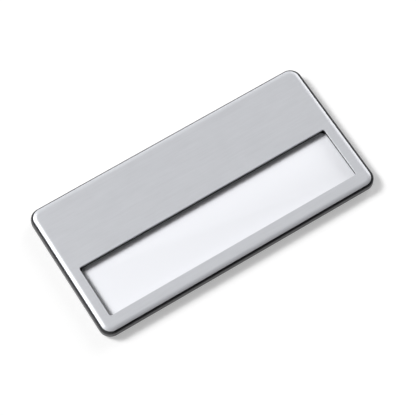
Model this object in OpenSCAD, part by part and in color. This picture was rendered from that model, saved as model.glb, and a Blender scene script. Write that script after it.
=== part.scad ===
// Reusable name badge: a metal front plate with a window over a blank card, a black frame
// and back plate behind it, and a magnet bar that it is worn by. Millimetres, +Z up, lying
// face up: the magnet bar rests on Z = 0, and the origin is under the middle of the badge.

/* [Badge] */
// Width of the back plate, the widest piece
badge_w = 76.1; // [64:0.1:90]
// Height of the back plate, from the lower long edge to the upper one
badge_h = 37.3; // [34:0.1:45]
// Radius of the back plate's corners, seen from the front
corner_r = 2.95; // [2.7:0.05:5]

/* [Front plate] */
// Height of the pressed metal plate, from the lip's foot to the face
front_t = 0.65; // [0.6:0.05:0.9]
// Thickness of the metal sheet
sheet_t = 0.4; // [0.3:0.05:0.5]
// How far in from the outline the face starts to fall
crown_w = 1.15; // [0.9:0.05:1.7]
// How far the face has fallen at the outline
crown_drop = 0.35; // [0.2:0.05:0.5]
// Radius of the metal's corners, seen from the front
front_r = 2.4; // [2.2:0.05:3]
// How far the back plate's rim stands out past the metal at the short sides
rim_side = 0.7; // [0.4:0.05:1]
// How far the rim stands out past the metal at the long sides
rim_long = 0.5; // [0.4:0.05:1]
// Open height between the lip's foot and the back plate
lip_gap = 0.1; // [0.05:0.05:0.3]

/* [Window] */
// Height of the window
window_h = 14.3; // [8:0.1:18]
// Metal left at each short side of the window
window_side = 2.95; // [2.8:0.05:8]
// Metal left below the window
window_sill = 3.6; // [3:0.1:6]
// Radius of the window's corners
window_r = 0.5; // [0.3:0.1:1.5]
// Radius that breaks the window's sharp upper edge
window_edge_r = 0.1; // [0.05:0.05:0.25]

/* [Name card] */
// Thickness of the card
card_t = 0.3; // [0.2:0.05:0.35]
// How far the card reaches past the window at each short side
card_side_lap = 0.3; // [0.2:0.1:1.4]
// How far the card reaches below the window
card_sill_lap = 1.2; // [0.6:0.1:1.4]
// How far the card reaches above the window
card_top_lap = 0.3; // [0.1:0.05:1.4]
// Radius of the card's corners
card_r = 2; // [0.5:0.1:2.5]
// How far the card's front lies below the floor that the frame stands on
card_sink = 0.25; // [0.05:0.05:0.3]

/* [Inner frame] */
// How far the frame's outer edge lies inside the metal's
frame_inset = 1.2; // [1.2:0.1:1.6]
// How deep the frame stands in the back plate
frame_seat = 0.5; // [0.4:0.05:0.7]

/* [Back plate] */
// Thickness of the back plate at its rim
back_t = 1.7; // [1.6:0.05:2.4]
// Radius that rounds the back plate's rear edge
back_edge_r = 0.2; // [0.1:0.05:0.6]
// Radius that rounds the rim's front edge
rim_edge_r = 0.3; // [0.1:0.05:0.4]

/* [Magnet bar] */
// Length of the bar
magnet_w = 45; // [30:1:55]
// Width of the bar
magnet_h = 13; // [9:0.5:18]
// How far the bar stands out behind the back plate
magnet_proud = 0.75; // [0.5:0.05:3]
// Depth of the shallow seat that the bar sits in
magnet_seat = 0.2; // [0.1:0.05:0.25]
// Radius of the bar's corners
magnet_r = 2.5; // [1.5:0.1:4]
// Radius that rounds the bar's rear edge
magnet_edge_r = 0.3; // [0.1:0.05:0.4]
// Radius that breaks the bar's front edge
magnet_front_r = 0.1; // [0.05:0.05:0.15]

/* [Fit] */
// Gap left between pieces that meet
gap = 0.05; // [0.02:0.01:0.06]

/* [Hidden] */
$fn = 64;
// How far a cutter runs past the face that it cuts
over = 0.1;

// Outlines, each worked in from the back plate's
front_w = badge_w - 2 * rim_side;
front_h = badge_h - 2 * rim_long;
frame_w = front_w - 2 * frame_inset;
frame_h = front_h - 2 * frame_inset;
frame_r = front_r - frame_inset;
window_w = front_w - 2 * window_side;
window_y = window_sill + window_h / 2 - front_h / 2;
card_w = window_w + 2 * card_side_lap;
card_h = window_h + card_sill_lap + card_top_lap;
card_y = window_y + (card_top_lap - card_sill_lap) / 2;

// Circle that leaves the face level at the crown's inner line and meets the outline one drop lower
crown_radius = (crown_w * crown_w + crown_drop * crown_drop) / (2 * crown_drop);

// Heights of the stack, from the surface up
back_z = magnet_proud;
bay_depth = card_t + card_sink + gap;
floor_z = back_z + back_t - frame_seat;
card_z = floor_z - bay_depth + gap;
frame_z = floor_z + gap;
frame_t = frame_seat + lip_gap + front_t - sheet_t - 2 * gap;
front_z = back_z + back_t + lip_gap;

// A rectangle with round corners, centred on the origin
module rounded_rectangle(w, h, r) {
    square([w, h - 2 * r], center = true);
    square([w - 2 * r, h], center = true);
    for (sx = [-1, 1], sy = [-1, 1])
        translate([sx * (w / 2 - r), sy * (h / 2 - r)]) circle(r);
}

// What a round of radius r takes off a square corner that points up and right
module corner_waste(r) {
    difference() {
        square(r + over);
        circle(r);
    }
}

// Half section of a slab, from a corner's centre out to its edge, with both edges rounded
module slab_section(reach, t, top_r, low_r) {
    difference() {
        square([reach, t]);
        translate([reach - top_r, t - top_r]) corner_waste(top_r);
        translate([reach - low_r, low_r]) mirror([0, 1]) corner_waste(low_r);
    }
}

// Carries a section round a w by h rectangle whose corners have their centres r inside it:
// a straight run along each side and a quarter turn at each corner
module carry_round(w, h, r) {
    for (k = [0 : 3]) {
        reach = (k % 2 == 0 ? w : h) / 2 - r;
        run = (k % 2 == 0 ? h : w) - 2 * r;
        rotate([0, 0, 90 * k]) translate([reach, run / 2, 0]) {
            rotate([90, 0, 0]) linear_extrude(run) children();
            rotate_extrude(angle = 90) children();
        }
    }
}

// A slab with round corners whose front and rear edges are rounded too
module rounded_slab(w, h, r, t, top_r, low_r) {
    carry_round(w, h, r) slab_section(r, t, top_r, low_r);
    translate([r - w / 2, r - h / 2, 0]) cube([w - 2 * r, h - 2 * r, t]);
}

// Half section of the pressed metal: level sheet, crowned edge, then a lip straight down. The
// sheet's underside follows the same circle's centre, one sheet thickness in.
module pressed_section() {
    centre = [front_r - crown_w, front_t - crown_radius];
    difference() {
        square([front_r, front_t]);
        difference() {
            translate([front_r - crown_w, front_t - crown_drop])
                square([crown_w + over, crown_drop + over]);
            translate(centre) circle(crown_radius);
        }
        translate([-over, -over]) square([front_r - crown_w + over, front_t - sheet_t + over]);
        intersection() {
            translate([front_r - crown_w, -over]) square([crown_w - sheet_t, front_t + over]);
            translate(centre) circle(crown_radius - sheet_t);
        }
    }
}

// The window through the metal, flared at the top so that the metal's edge comes out round
module window_cutter() {
    translate([0, window_y, 0]) {
        translate([0, 0, -over]) linear_extrude(front_t + 2 * over)
            rounded_rectangle(window_w, window_h, window_r);
        carry_round(window_w, window_h, window_r)
            translate([window_r + window_edge_r, front_t - window_edge_r])
                mirror([1, 0]) corner_waste(window_edge_r);
    }
}

// Metal front plate: pressed sheet with a level face, a crowned edge that turns down into a lip,
// and one long window in the lower half
module front_plate() {
    color([0.78, 0.79, 0.81]) translate([0, 0, front_z]) difference() {
        union() {
            carry_round(front_w, front_h, front_r) pressed_section();
            translate([front_r - front_w / 2, front_r - front_h / 2, front_t - sheet_t])
                cube([front_w - 2 * front_r, front_h - 2 * front_r, sheet_t]);
        }
        window_cutter();
    }
}

// Black frame that stands in the back plate, carries the metal from behind and lines the
// window's lower walls
module inner_frame() {
    color([0.07, 0.07, 0.08]) translate([0, 0, frame_z]) difference() {
        linear_extrude(frame_t) rounded_rectangle(frame_w, frame_h, frame_r);
        translate([0, window_y, -over]) linear_extrude(frame_t + 2 * over)
            rounded_rectangle(window_w, window_h, window_r);
    }
}

// Blank card with round corners, under the frame in the back plate's bay
module name_card() {
    color([0.95, 0.95, 0.97]) translate([0, card_y, card_z])
        linear_extrude(card_t) rounded_rectangle(card_w, card_h, card_r);
}

// Black back plate: a rim that stands out past the metal, a seat for the frame with a bay for the
// card in its floor, and a seat for the bar behind
module back_plate() {
    color([0.1, 0.1, 0.11]) translate([0, 0, back_z]) difference() {
        rounded_slab(badge_w, badge_h, corner_r, back_t, rim_edge_r, back_edge_r);
        translate([0, 0, back_t - frame_seat]) linear_extrude(frame_seat + over)
            rounded_rectangle(frame_w + 2 * gap, frame_h + 2 * gap, frame_r + gap);
        translate([0, card_y, back_t - frame_seat - bay_depth]) linear_extrude(bay_depth + over)
            rounded_rectangle(card_w + 2 * gap, card_h + 2 * gap, window_r);
        translate([0, 0, -over]) linear_extrude(magnet_seat + over)
            rounded_rectangle(magnet_w + 2 * gap, magnet_h + 2 * gap, magnet_r + gap);
    }
}

// Plain magnet bar that the badge is worn by, and that it lies on
module magnet_bar() {
    color([0.6, 0.6, 0.62])
        rounded_slab(magnet_w, magnet_h, magnet_r, magnet_proud + magnet_seat - gap,
                     magnet_front_r, magnet_edge_r);
}

front_plate();
inner_frame();
name_card();
back_plate();
magnet_bar();
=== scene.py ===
# Reusable name badge: a satin metal front plate with a long window over a blank white card,
# a black frame and back plate behind it, and the magnet bar that it is worn by.
import math
import bpy
import numpy as np
from mathutils import Matrix, Vector


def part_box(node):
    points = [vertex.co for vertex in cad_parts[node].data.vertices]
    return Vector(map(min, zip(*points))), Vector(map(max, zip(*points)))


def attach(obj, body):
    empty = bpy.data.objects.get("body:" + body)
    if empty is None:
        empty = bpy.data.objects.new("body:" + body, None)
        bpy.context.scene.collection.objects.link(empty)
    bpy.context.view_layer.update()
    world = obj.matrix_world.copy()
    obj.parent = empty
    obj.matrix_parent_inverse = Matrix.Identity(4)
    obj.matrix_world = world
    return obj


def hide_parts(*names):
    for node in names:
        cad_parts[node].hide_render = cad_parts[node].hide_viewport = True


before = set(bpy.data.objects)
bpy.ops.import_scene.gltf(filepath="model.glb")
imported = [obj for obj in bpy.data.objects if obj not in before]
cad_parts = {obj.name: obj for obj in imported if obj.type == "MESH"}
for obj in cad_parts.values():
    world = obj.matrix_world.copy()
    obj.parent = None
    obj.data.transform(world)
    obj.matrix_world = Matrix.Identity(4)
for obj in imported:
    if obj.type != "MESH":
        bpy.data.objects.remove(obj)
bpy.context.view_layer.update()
mm = 0.001
print("frame loaded:", sorted(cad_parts))

meshing = {
    "sideSteps": 24,        # along each straight side of an outline
    "cornerSteps": 20,      # round each of its quarter turns
    "sharpAbove": 30,       # degrees: faces that meet at more than this show a sharp edge
}


# Low and high corner of a node's box
def boxOf(node):
    low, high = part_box(node)
    return np.array(low), np.array(high)


# A rectangle with round corners, walked once round, anticlockwise from the lower right corner.
# It gives two arrays: points on the rectangle through the corners' centres, and the direction out
# from each, which stays square to a side along the side and turns 90 degrees at each corner.
# A point of the outline is its centre point + direction * radius.
def roundOutline(low, high, radius):
    signs = np.array([[1, 1], [-1, 1], [-1, -1], [1, -1]])
    low, high = np.array(low[:2]), np.array(high[:2])
    centres = (low + high) / 2 + signs * ((high - low) / 2 - radius)
    straight, turning = meshing["sideSteps"], meshing["cornerSteps"]
    side = np.arange(4).repeat(straight + turning)
    onSide = np.linspace(0, 1, straight, endpoint=False)
    inCorner = np.linspace(0, 1, turning, endpoint=False)
    along = np.tile(np.concatenate([onSide, np.ones(turning)]), 4)[:, None]
    turn = np.tile(np.concatenate([np.zeros(straight), inCorner]), 4)
    angle = np.pi / 2 * (side + turn)
    core = centres[side - 1] * (1 - along) + centres[side] * along
    return core, np.stack([np.cos(angle), np.sin(angle)], 1)


# Arc of a section: centre + radius * (cos, sin), from one angle to the other in equal steps.
def arc(centreOut, centreUp, radius, fromDegrees, toDegrees, steps):
    angle = np.radians(np.linspace(fromDegrees, toDegrees, steps + 1))
    return np.stack([centreOut + radius * np.cos(angle), centreUp + radius * np.sin(angle)], 1)


# Surface of a section carried round outlines: point (v, u) is outline v's centre point at u, plus
# its direction at u times the section's distance out at v, at the section's height at v. Each
# part of the section names its own outline, so one skin can run from a window's edge to the outer
# edge. A closed section joins its last row to its first; an open one is capped flat.
def carriedSkin(name, parts, closed):
    core = np.concatenate([np.repeat(outline[0][None], len(run), 0) for outline, run in parts])
    out = np.concatenate([np.repeat(outline[1][None], len(run), 0) for outline, run in parts])
    section = np.concatenate([run for outline, run in parts])
    rows, columns = core.shape[:2]
    flat = core + out * section[:, None, :1]
    height = np.repeat(section[:, None, 1:], columns, 1)
    points = np.concatenate([flat, height], 2).reshape(-1, 3)
    v = np.arange(rows if closed else rows - 1)[:, None]
    u = np.arange(columns)[None]
    here, there = v * columns, (v + 1) % rows * columns
    nextU = (u + 1) % columns
    quads = np.stack([here + u, there + u, there + nextU, here + nextU], 2).reshape(-1, 4)
    faces = quads.tolist()
    if not closed:
        faces.append(np.arange(columns).tolist())
        faces.append((np.arange(columns)[::-1] + (rows - 1) * columns).tolist())
    mesh = bpy.data.meshes.new(name)
    mesh.from_pydata(points.tolist(), [], faces)
    mesh.validate()
    mesh.shade_smooth()
    mesh.set_sharp_from_angle(angle=math.radians(meshing["sharpAbove"]))
    piece = bpy.data.objects.new(name, mesh)
    bpy.context.scene.collection.objects.link(piece)
    return piece


# Gives a piece its finish and puts it where its node is.
def place(piece, node, finish):
    piece.data.materials.append(finish)
    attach(piece, "root")
    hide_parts(node)
    print("made", piece.name, len(piece.data.polygons), "faces")


# A socket that can be used in a Python sum. Each operator adds a Math node, so only numbers are
# summed; vectors and colours go through the tree's own nodes.
class Field:
    def __init__(self, tree, socket):
        self.tree, self.socket = tree, socket

    def math(self, operation, *others):
        values = {("Value", "Value_001", "Value_002")[i]: v for i, v in enumerate((self, *others))}
        return self.tree.node("ShaderNodeMath", {"operation": operation}, values)["Value"]

    def __add__(self, other):
        return self.math("ADD", other)

    def __radd__(self, other):
        return self.math("ADD", other)

    def __mul__(self, other):
        return self.math("MULTIPLY", other)

    def __rmul__(self, other):
        return self.math("MULTIPLY", other)

    def __sub__(self, other):
        return self.math("SUBTRACT", other)

    def __rsub__(self, other):
        return (self * -1) + other


# A node tree under construction. node() adds any node: its type, its settings, its sockets.
class Tree:
    def __init__(self, owner):
        owner.use_nodes = True
        self.nodes, self.links = owner.node_tree.nodes, owner.node_tree.links
        self.nodes.clear()

    def node(self, kind, settings=None, values=None):
        made = self.nodes.new(kind)
        for key, value in (settings or {}).items():
            setattr(made, key, value)
        sockets = {s.identifier: s for s in made.inputs}
        for key, value in (values or {}).items():
            if isinstance(value, Field):
                self.links.new(value.socket, sockets[key])
            else:
                sockets[key].default_value = value
        return {s.identifier: Field(self, s) for s in made.outputs}

    def vector(self, operation, first, second=(0, 0, 0)):
        values = {"Vector": first, "Vector_001": second}
        return self.node("ShaderNodeVectorMath", {"operation": operation}, values)

    # 0 below the range and 1 above it, with soft ends
    def ramp(self, value, start, end):
        values = {"Value": value, "From Min": start, "From Max": end}
        return self.node("ShaderNodeMapRange", {"interpolation_type": "SMOOTHSTEP"}, values)["Result"]


# A material under construction, with the few patterns that the badge needs. look is a finish's
# own dictionary.
class Finish(Tree):
    def __init__(self, name):
        self.material = bpy.data.materials.new(name)
        super().__init__(self.material)

    def position(self):
        return self.node("ShaderNodeTexCoord")["Object"]

    def noise(self, where, size, detail, breakUp=0.5):
        values = {"Vector": where, "Scale": 1 / size, "Detail": detail, "Roughness": breakUp}
        return self.node("ShaderNodeTexNoise", {}, values)["Fac"]

    # The finish's roughness, moved up and down by a pattern that lies round one half
    def unevenRoughness(self, pattern, look):
        return pattern * look["roughSpread"] + (look["roughness"] - look["roughSpread"] / 2)

    def bump(self, height, look):
        values = {"Height": height, "Strength": look["reliefStrength"], "Distance": look["relief"]}
        return self.node("ShaderNodeBump", {}, values)["Normal"]

    def done(self, values):
        shader = self.node("ShaderNodeBsdfPrincipled", {}, values)["BSDF"]
        self.node("ShaderNodeOutputMaterial", {}, {"Surface": shader})
        return self.material


satin = {
    "colour": (0.712, 0.725, 0.761, 1),
    "metallic": 0.25,              # the rest is the fine matte skin, which scatters light evenly
    "roughness": 0.42,
    "cutRoughness": 0.25,          # of the bare cut sides
    "roughSpread": 0.06,           # from the grain, and as much again from the streaks
    "skinDepth": 0.36 * mm,        # below the face, where the bare cut side starts
    "skinFade": 0.04 * mm,         # over which the one goes over to the other
    "grain": 0.12 * mm, "grainDetail": 3.0, "grainBreakUp": 0.6,
    "relief": 0.002 * mm, "reliefStrength": 0.3,
    "streak": 0.5 * mm, "streakDetail": 3.0, "streakBreakUp": 0.55,      # faint lines of the brushing
    "stretch": (0.08, 1, 1), "toneStreak": 0.10,
    "patch": 4 * mm, "patchDetail": 2.0, "tonePatch": 0.05,              # faint wide patches
}


# The face and crown carry the satin skin; the cut sides below them are bare metal. The colour is
# multiplied by 1 + toneStreak * (streaks - 1/2) + tonePatch * (patches - 1/2).
def satinMetal(faceHeight):
    finish = Finish("satin_metal")
    where = finish.position()
    grain = finish.noise(where, satin["grain"], satin["grainDetail"], satin["grainBreakUp"])
    values = {"Vector": where, "Scale": satin["stretch"]}
    along = finish.node("ShaderNodeMapping", {}, values)["Vector"]
    streaks = finish.noise(along, satin["streak"], satin["streakDetail"], satin["streakBreakUp"])
    patches = finish.noise(where, satin["patch"], satin["patchDetail"])
    tone = streaks * satin["toneStreak"] + patches * satin["tonePatch"]
    shade = tone + (1 - (satin["toneStreak"] + satin["tonePatch"]) / 2)
    values = {"Vector": satin["colour"][:3], "Scale": shade}
    colour = finish.node("ShaderNodeVectorMath", {"operation": "SCALE"}, values)["Vector"]
    height = finish.node("ShaderNodeSeparateXYZ", {}, {"Vector": where})["Z"]
    skinEnd = faceHeight - satin["skinDepth"]
    skin = finish.ramp(height, skinEnd - satin["skinFade"], skinEnd)
    rough = skin * (satin["roughness"] - satin["cutRoughness"]) + satin["cutRoughness"]
    spread = satin["roughSpread"]
    return finish.done({
        "Base Color": colour,
        "Metallic": skin * (satin["metallic"] - 1) + 1,
        "Roughness": grain * spread + streaks * spread + (rough - spread),
        "Normal": finish.bump(grain, satin)})


plastic = {
    "inside": (0.04, 0.04, 0.042, 1),
    "paintedSheen": (0.09, 0.09, 0.095, 1),      # painted sheen: the outer wall made a little greyer, standing in for its reflection of the floor
    "paintedSheenFrom": -0.18 * mm, "paintedSheenTo": -0.02 * mm,      # past the outline, so both lie inside it
    "roughness": 0.4, "roughSpread": 0.1,
    "grain": 0.15 * mm, "grainDetail": 2.0,
    "relief": 0.005 * mm, "reliefStrength": 0.4,
}


# Deep black, which goes over to a greyer black on the back plate's outer wall: a painted sheen that
# stands in for the wall's reflection of the pale floor. How far a point is past the outline is the
# length of (|place| - the corner's centre, never below zero), less the corner's radius.
def blackPlastic(reach, radius):
    finish = Finish("black_plastic")
    where = finish.position()
    grain = finish.noise(where, plastic["grain"], plastic["grainDetail"])
    centre = (reach[0] - radius, reach[1] - radius, reach[2])
    beyond = finish.vector("SUBTRACT", finish.vector("ABSOLUTE", where)["Vector"], centre)["Vector"]
    past = finish.vector("LENGTH", finish.vector("MAXIMUM", beyond)["Vector"])["Value"] - radius
    # painted sheen: lighter grey on the outermost wall, in place of its reflection of the floor
    paintedSheen = finish.ramp(past, plastic["paintedSheenFrom"], plastic["paintedSheenTo"])
    values = {"Factor_Float": paintedSheen, "A_Color": plastic["inside"], "B_Color": plastic["paintedSheen"]}
    colour = finish.node("ShaderNodeMix", {"data_type": "RGBA"}, values)["Result_Color"]
    return finish.done({
        "Base Color": colour,
        "Roughness": finish.unevenRoughness(grain, plastic),
        "Normal": finish.bump(grain, plastic)})


paper = {
    "colour": (0.93, 0.94, 0.98, 1),
    "roughness": 0.85, "roughSpread": 0.1,
    "fibre": 0.1 * mm, "fibreDetail": 3.0,
    "relief": 0.01 * mm, "reliefStrength": 0.3,
}


# Plain uncoated card: one even white, with the fibres only in its relief and roughness.
def whiteCard():
    finish = Finish("white_card")
    fibre = finish.noise(finish.position(), paper["fibre"], paper["fibreDetail"])
    return finish.done({
        "Base Color": paper["colour"],
        "Roughness": finish.unevenRoughness(fibre, paper),
        "Normal": finish.bump(fibre, paper)})


steel = {
    "colour": (0.62, 0.62, 0.64, 1), "metallic": 1.0,
    "roughness": 0.28, "roughSpread": 0.08,
    "grain": 0.2 * mm, "grainDetail": 2.0,
    "relief": 0.003 * mm, "reliefStrength": 0.3,
}


# Bare plating: one even metal colour, with a faint grain in its relief and roughness.
def platedSteel():
    finish = Finish("plated_steel")
    grain = finish.noise(finish.position(), steel["grain"], steel["grainDetail"])
    return finish.done({
        "Base Color": steel["colour"], "Metallic": steel["metallic"],
        "Roughness": finish.unevenRoughness(grain, steel),
        "Normal": finish.bump(grain, steel)})


frontPlate = {
    "cornerRadius": 2.4 * mm,      # seen from the front
    "crownWidth": 1.15 * mm,       # how far in from the outline the face starts to fall
    "crownDrop": 0.35 * mm,        # how far it has fallen at the outline
    "sheet": 0.4 * mm,             # thickness of the metal
    "footEdge": 0.05 * mm,         # breaks the lip's lower edges
    "windowSide": 2.95 * mm,       # metal beside the window
    "windowSill": 3.6 * mm,        # metal below it
    "windowHeight": 14.3 * mm,
    "windowRadius": 0.5 * mm,
    "windowEdge": 0.1 * mm,        # rounds the window's upper edge
    "guard": 0.02 * mm,            # keeps the flat face's shading flat beside a round
    "crownSteps": 16, "undersideSteps": 8, "footSteps": 3, "windowSteps": 10,
}
metalLow, metalHigh = boxOf("front_plate")
windowLow = metalLow[:2] + [frontPlate["windowSide"], frontPlate["windowSill"]]
windowRight = metalHigh[0] - frontPlate["windowSide"]
windowHigh = np.array([windowRight, windowLow[1] + frontPlate["windowHeight"]])


# Arc of the crowned edge: a circle that leaves the face level at crownWidth inside the outline and
# meets the outline crownDrop lower, so its radius is (width squared + drop squared) / (2 * drop).
# The underside has the same centre and a radius smaller by the sheet's thickness.
def crownArcs(cornerOut, top):
    plate = frontPlate
    width, drop, sheet = plate["crownWidth"], plate["crownDrop"], plate["sheet"]
    radius = (width ** 2 + drop ** 2) / (2 * drop)
    centreOut, centreUp = cornerOut - width, top - radius
    upperEnd = 90 - math.degrees(math.asin(width / radius))
    lowerEnd = 90 - math.degrees(math.asin((width - sheet) / (radius - sheet)))
    upper = arc(centreOut, centreUp, radius, 90, upperEnd, plate["crownSteps"])
    lower = arc(centreOut, centreUp, radius - sheet, lowerEnd, 90, plate["undersideSteps"])
    return upper, lower


# Section: from the window's upper edge out over the face, down the crowned edge and the lip's
# side, round the lip's foot, back along the underside and up the window's wall.
def makeFrontPlate():
    plate = frontPlate
    radius, windowRadius, edge = plate["cornerRadius"], plate["windowRadius"], plate["windowEdge"]
    sheet, foot, footSteps = plate["sheet"], plate["footEdge"], plate["footSteps"]
    crownStart = radius - plate["crownWidth"]
    outer = roundOutline(metalLow, metalHigh, radius)
    window = roundOutline(windowLow, windowHigh, windowRadius)
    top, under = metalHigh[2], metalLow[2]
    upper, lower = crownArcs(radius, top)
    parts = [
        (window, arc(windowRadius + edge, top - edge, edge, 180, 90, plate["windowSteps"])),
        (window, np.array([[windowRadius + edge + plate["guard"], top]])),
        (outer, np.array([[crownStart - plate["guard"], top]])),
        (outer, upper),
        (outer, arc(radius - foot, under + foot, foot, 0, -90, footSteps)),
        (outer, arc(radius - sheet + foot, under + foot, foot, -90, -180, footSteps)),
        (outer, lower),
        (window, np.array([[windowRadius + foot, top - sheet], [windowRadius, top - sheet + foot]])),
    ]
    return carriedSkin("frontPlate", parts, True)


place(makeFrontPlate(), "front_plate", satinMetal(metalHigh[2]))

innerFrame = {"cornerRadius": 1.2 * mm, "edge": 0.04 * mm, "edgeSteps": 4}


# Section: round the four edges of a plain frame, from the window's upper one and back to it.
def makeInnerFrame():
    frameLow, frameHigh = boxOf("inner_frame")
    radius, windowRadius = innerFrame["cornerRadius"], frontPlate["windowRadius"]
    edge, steps = innerFrame["edge"], innerFrame["edgeSteps"]
    outer = roundOutline(frameLow, frameHigh, radius)
    window = roundOutline(windowLow, windowHigh, windowRadius)
    top, under = frameHigh[2], frameLow[2]
    parts = [
        (window, arc(windowRadius + edge, top - edge, edge, 180, 90, steps)),
        (outer, arc(radius - edge, top - edge, edge, 90, 0, steps)),
        (outer, arc(radius - edge, under + edge, edge, 0, -90, steps)),
        (window, arc(windowRadius + edge, under + edge, edge, 270, 180, steps)),
    ]
    return carriedSkin("innerFrame", parts, True)


nameCard = {"cornerRadius": 2.0 * mm, "edge": 0.03 * mm, "edgeSteps": 3}


# Section: round the card's two outer edges, capped flat above and below.
def makeNameCard():
    cardLow, cardHigh = boxOf("name_card")
    radius, edge, steps = nameCard["cornerRadius"], nameCard["edge"], nameCard["edgeSteps"]
    outer = roundOutline(cardLow, cardHigh, radius)
    parts = [
        (outer, arc(radius - edge, cardHigh[2] - edge, edge, 90, 0, steps)),
        (outer, arc(radius - edge, cardLow[2] + edge, edge, 0, -90, steps)),
    ]
    return carriedSkin("nameCard", parts, False)


place(makeNameCard(), "name_card", whiteCard())

magnetBar = {
    "cornerRadius": 2.5 * mm,
    "frontEdge": 0.1 * mm, "frontSteps": 6,      # breaks the front edge
    "rearEdge": 0.3 * mm, "rearSteps": 12,       # rounds the rear edge
    "guard": 0.02 * mm,
}


# Section: round the bar's front and rear edges, capped flat above and below.
def makeMagnetBar():
    bar = magnetBar
    barLow, barHigh = boxOf("magnet_bar")
    radius, guard = bar["cornerRadius"], bar["guard"]
    front, rear = bar["frontEdge"], bar["rearEdge"]
    top, under = barHigh[2], barLow[2]
    outer = roundOutline(barLow, barHigh, radius)
    parts = [
        (outer, np.array([[radius - front - guard, top]])),
        (outer, arc(radius - front, top - front, front, 90, 0, bar["frontSteps"])),
        (outer, arc(radius - rear, under + rear, rear, 0, -90, bar["rearSteps"])),
        (outer, np.array([[radius - rear - guard, under]])),
    ]
    return carriedSkin("magnetBar", parts, False)


place(makeMagnetBar(), "magnet_bar", platedSteel())

backPlate = {
    "cornerRadius": 2.95 * mm,
    "rimEdge": 0.3 * mm, "rimSteps": 10,        # rounds the rim's front edge
    "rearEdge": 0.2 * mm, "rearSteps": 16,      # rounds the rear edge
    "frameSeat": 0.5 * mm,                      # how deep the inner frame stands in it
    "bayDepth": 0.6 * mm,                       # bay that the card lies in
    "bayRadius": 0.5 * mm,
    "seatDepth": 0.2 * mm,                      # seat of the magnet bar
    "gap": 0.05 * mm,                           # left open round each piece that it holds
    "guard": 0.02 * mm,
}


# Section: up the card's bay and the frame's seat, out over the rim, down the side, back in along
# the rear and up the bar's seat, capped flat at the floors of the bay and of the bar's seat.
def makeBackPlate():
    plate = backPlate
    plateLow, plateHigh = boxOf("back_plate")
    frameLow, frameHigh = boxOf("inner_frame")
    cardLow, cardHigh = boxOf("name_card")
    barLow, barHigh = boxOf("magnet_bar")
    radius, gap, guard = plate["cornerRadius"], plate["gap"], plate["guard"]
    rim, rear = plate["rimEdge"], plate["rearEdge"]
    bayOut = plate["bayRadius"]
    frameOut = innerFrame["cornerRadius"] + gap
    seatOut = magnetBar["cornerRadius"] + gap
    outer = roundOutline(plateLow, plateHigh, radius)
    frameSeat = roundOutline(frameLow - gap, frameHigh + gap, frameOut)
    bay = roundOutline(cardLow - gap, cardHigh + gap, bayOut)
    seat = roundOutline(barLow - gap, barHigh + gap, seatOut)
    top, under = plateHigh[2], plateLow[2]
    ledge = top - plate["frameSeat"]
    parts = [
        (bay, np.array([[bayOut, ledge - plate["bayDepth"]], [bayOut, ledge]])),
        (frameSeat, np.array([[frameOut, ledge], [frameOut, top]])),
        (outer, np.array([[radius - rim - guard, top]])),
        (outer, arc(radius - rim, top - rim, rim, 90, 0, plate["rimSteps"])),
        (outer, arc(radius - rear, under + rear, rear, 0, -90, plate["rearSteps"])),
        (outer, np.array([[radius - rear - guard, under]])),
        (seat, np.array([[seatOut, under], [seatOut, under + plate["seatDepth"]]])),
    ]
    return carriedSkin("backPlate", parts, False)


black = blackPlastic(boxOf("back_plate")[1], backPlate["cornerRadius"])
place(makeInnerFrame(), "inner_frame", black)
place(makeBackPlate(), "back_plate", black)

floorLook = {
    "size": 6.0,                       # metres
    "colour": (0.70, 0.70, 0.70, 1), "roughness": 0.9,
    "glowColour": (1, 1, 1, 1),        # a pale surface that is lit from below as well
    "glow": 0.38,
}


# A level square, half its size out from the badge's middle each way, at the height that it lies on.
def makeFloor():
    half = floorLook["size"] / 2
    mesh = bpy.data.meshes.new("floor")
    corners = [(-half, -half, 0), (half, -half, 0), (half, half, 0), (-half, half, 0)]
    mesh.from_pydata(corners, [], [(0, 1, 2, 3)])
    floor = bpy.data.objects.new("floor", mesh)
    bpy.context.scene.collection.objects.link(floor)
    finish = Finish("floor")
    mesh.materials.append(finish.done({
        "Base Color": floorLook["colour"], "Roughness": floorLook["roughness"],
        "Emission Color": floorLook["glowColour"], "Emission Strength": floorLook["glow"]}))


makeFloor()

camera = {
    "azimuth": -30.24, "elevation": 65.1, "roll": -1.79,      # degrees
    "aim": (-0.51 * mm, -3.2 * mm),      # where the middle of the picture meets the metal's face
    "distance": 459.74 * mm,
    "lens": 166.97,
    "clipStart": 0.01, "clipEnd": 20,    # metres
}


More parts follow.
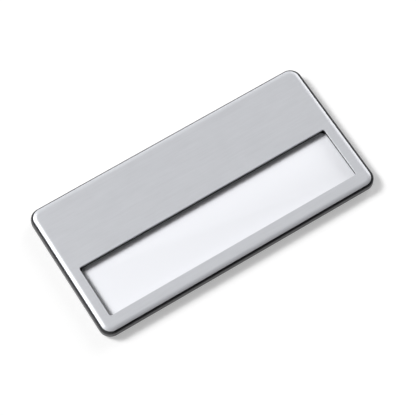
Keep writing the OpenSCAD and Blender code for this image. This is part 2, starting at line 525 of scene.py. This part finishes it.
# Azimuth is measured from in front of the badge (-Y), positive to the right. The camera looks
# along -back, and its right and up directions are turned by the roll.
def makeCamera():
    azimuth, elevation = math.radians(camera["azimuth"]), math.radians(camera["elevation"])
    level = math.cos(elevation)
    back = Vector((math.sin(azimuth) * level, -math.cos(azimuth) * level, math.sin(elevation)))
    right = Vector((math.cos(azimuth), math.sin(azimuth), 0))
    up = back.cross(right)
    roll = math.radians(camera["roll"])
    cosine, sine = math.cos(roll), math.sin(roll)
    right, up = right * cosine + up * sine, up * cosine - right * sine
    data = bpy.data.cameras.new("camera")
    data.lens = camera["lens"]
    data.clip_start, data.clip_end = camera["clipStart"], camera["clipEnd"]
    seen = bpy.data.objects.new("camera", data)
    bpy.context.scene.collection.objects.link(seen)
    turn = Matrix((right, up, back)).transposed().to_4x4()
    aim = Vector((*camera["aim"], metalHigh[2]))
    seen.matrix_world = Matrix.Translation(aim + back * camera["distance"]) @ turn
    bpy.context.scene.camera = seen


makeCamera()

sky = {
    "colour": (1, 1, 1, 1),
    "room": 0.02,
    "lamps": [
        {"azimuth": -41, "elevation": 41, "spread": 6, "strength": 47.5},      # key, behind and left
        {"azimuth": -42, "elevation": 46, "spread": 14, "strength": 0.6},      # glow round the key
        {"azimuth": 66, "elevation": 19, "spread": 12, "strength": 5.2},       # fill, low on the right
        {"azimuth": -105, "elevation": 42, "spread": 8, "strength": 1.6},      # small lamp on the left
    ],
}


# A lamp's azimuth is measured from behind the badge (+Y), positive to the right; both in degrees.
def skyDirection(azimuth, elevation):
    a, e = math.radians(azimuth), math.radians(elevation)
    return Vector((math.sin(a) * math.cos(e), math.cos(a) * math.cos(e), math.sin(e)))


# Radiance in direction d: an even dim room, to which each lamp adds
# strength * exp((cosine of the angle between d and its middle - 1) / spread squared).
def makeSky():
    bpy.context.scene.view_settings.view_transform = "Standard"
    world = bpy.data.worlds.new("sky")
    tree = Tree(world)
    where = tree.node("ShaderNodeTexCoord")["Generated"]
    light = sky["room"]
    for lamp in sky["lamps"]:
        middle = skyDirection(lamp["azimuth"], lamp["elevation"])
        cosine = tree.vector("DOT_PRODUCT", where, middle)["Value"]
        sharpness = math.radians(lamp["spread"]) ** -2
        light = ((cosine - 1) * sharpness).math("EXPONENT") * lamp["strength"] + light
    shader = tree.node("ShaderNodeBackground", {}, {"Color": sky["colour"], "Strength": light})
    tree.node("ShaderNodeOutputWorld", {}, {"Surface": shader["Background"]})
    bpy.context.scene.world = world


makeSky()
print("stage, camera and light set")
